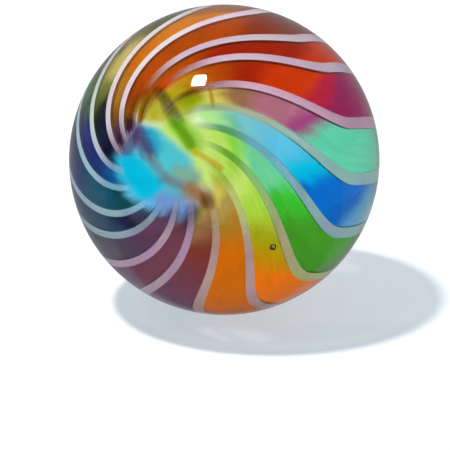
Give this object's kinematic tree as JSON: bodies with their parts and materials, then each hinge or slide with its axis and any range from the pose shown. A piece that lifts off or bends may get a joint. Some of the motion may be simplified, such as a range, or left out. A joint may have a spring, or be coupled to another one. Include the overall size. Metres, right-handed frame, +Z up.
{
  "type": "glass marble",
  "caption": "Clear glass ball with a twisted skin of rainbow-coloured glass bands and white threads just under its surface.",
  "frame": {"origin": "centre of the ball", "axes": "+Z up as the ball lies, -Y the front, which the front eye of the twist faces, swung 29 degrees to the left and raised 17 degrees"},
  "size_m": [0.044, 0.044, 0.044],
  "materials": {
    "clear_glass": "polished clear glass",
    "white_glass": "opaque white glass",
    "slate_glass": "transparent slate blue glass",
    "plum_glass": "transparent plum glass",
    "purple_glass": "transparent purple glass",
    "maroon_glass": "transparent maroon glass",
    "orange_glass": "transparent deep orange glass",
    "tangerine_glass": "transparent bright orange glass",
    "green_glass": "transparent leaf green glass",
    "blue_glass": "transparent sky blue glass",
    "mint_glass": "transparent mint glass",
    "magenta_glass": "transparent magenta glass",
    "red_glass": "transparent red glass",
    "brown_glass": "transparent red-brown glass",
    "amber_glass": "transparent amber glass",
    "olive_glass": "transparent olive glass",
    "navy_glass": "transparent navy glass",
    "teal_glass": "transparent teal glass"
  },
  "bodies": {
    "root": {"clear_glass": "clear_glass", "slate_band": "slate_glass", "plum_band": "plum_glass", "purple_band": "purple_glass", "maroon_band": "maroon_glass", "orange_band": "orange_glass", "tangerine_band": "tangerine_glass", "green_band": "green_glass", "blue_band": "blue_glass", "mint_band": "mint_glass", "magenta_band": "magenta_glass", "red_band": "red_glass", "brown_band": "brown_glass", "amber_band": "amber_glass", "olive_band": "olive_glass", "navy_band": "navy_glass", "teal_band": "teal_glass", "white_thread_1": "white_glass", "white_thread_2": "white_glass", "white_thread_3": "white_glass", "white_thread_4": "white_glass", "white_thread_5": "white_glass", "white_thread_6": "white_glass", "white_thread_7": "white_glass", "white_thread_8": "white_glass", "white_thread_9": "white_glass", "white_thread_10": "white_glass", "white_thread_11": "white_glass", "white_thread_12": "white_glass", "white_thread_13": "white_glass", "white_thread_14": "white_glass", "white_thread_15": "white_glass", "white_thread_16": "white_glass"}
  },
  "joints": []
}
